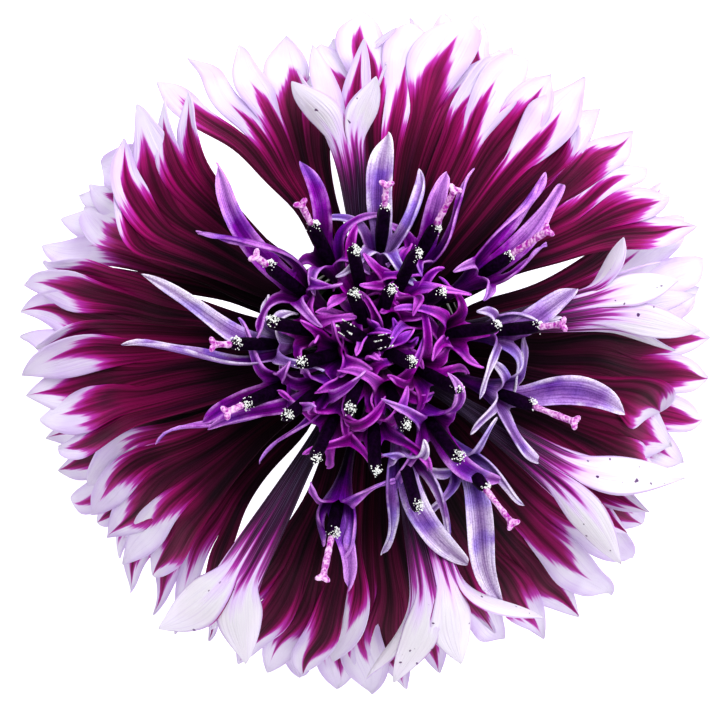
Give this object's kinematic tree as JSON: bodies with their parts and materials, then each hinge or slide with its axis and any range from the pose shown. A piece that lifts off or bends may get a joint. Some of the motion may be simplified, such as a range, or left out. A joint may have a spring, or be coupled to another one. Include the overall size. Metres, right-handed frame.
{
  "type": "flower head",
  "caption": "Double two-tone flower head with arching lobed outer florets, a dome of slender inner florets, a scaly green cup and a short cut stem end.",
  "frame": {"origin": "middle of the head's bounding box on the surface that it lies on: the stem's cut end is at z = 0 round this point", "axes": "+Z along the head's axis, out of the dome of inner florets; +X and +Y are the right and the top of the head as it is seen from above"},
  "size_m": [0.0471, 0.0474, 0.0278],
  "materials": {
    "stem_green": "living plant stem, satin",
    "bract_green": "green scales with dark fringed margins, satin",
    "ray_petal": "soft petal, dark maroon flames running out into white lobes, matte",
    "disc_petal": "soft violet petal with near-black anther column, satin"
  },
  "bodies": {
    "root": {"stem": "stem_green", "bract_row_1": "bract_green", "bract_row_2": "bract_green", "bract_row_3": "bract_green", "bract_row_4": "bract_green", "ray_floret_a": "ray_petal", "ray_floret_b": "ray_petal", "ray_floret_c": "ray_petal", "ray_floret_d": "ray_petal", "ray_floret_e": "ray_petal", "ray_floret_f": "ray_petal", "ray_floret_g": "ray_petal", "ray_floret_h": "ray_petal", "ray_floret_i": "ray_petal", "ray_floret_j": "ray_petal", "ray_floret_k": "ray_petal", "ray_floret_l": "ray_petal", "ray_floret_m": "ray_petal", "ray_floret_n": "ray_petal", "ray_floret_o": "ray_petal", "ray_floret_p": "ray_petal", "ray_floret_q": "ray_petal", "ray_floret_r": "ray_petal", "ray_floret_s": "ray_petal", "ray_floret_t": "ray_petal", "ray_floret_u": "ray_petal", "ray_floret_v": "ray_petal", "ray_floret_w": "ray_petal", "ray_floret_x": "ray_petal", "disc_floret_01": "disc_petal", "disc_floret_02": "disc_petal", "disc_floret_03": "disc_petal", "disc_floret_04": "disc_petal", "disc_floret_05": "disc_petal", "disc_floret_06": "disc_petal", "disc_floret_07": "disc_petal", "disc_floret_08": "disc_petal", "disc_floret_09": "disc_petal", "disc_floret_10": "disc_petal", "disc_floret_11": "disc_petal", "disc_floret_12": "disc_petal", "disc_floret_13": "disc_petal", "disc_floret_14": "disc_petal", "disc_floret_15": "disc_petal", "disc_floret_16": "disc_petal", "disc_floret_17": "disc_petal", "disc_floret_18": "disc_petal", "disc_floret_19": "disc_petal", "disc_floret_20": "disc_petal", "disc_floret_21": "disc_petal", "disc_floret_22": "disc_petal", "disc_floret_23": "disc_petal", "disc_floret_24": "disc_petal", "disc_floret_25": "disc_petal", "disc_floret_26": "disc_petal", "disc_floret_27": "disc_petal", "disc_floret_28": "disc_petal", "disc_floret_29": "disc_petal", "disc_floret_30": "disc_petal"}
  },
  "joints": []
}
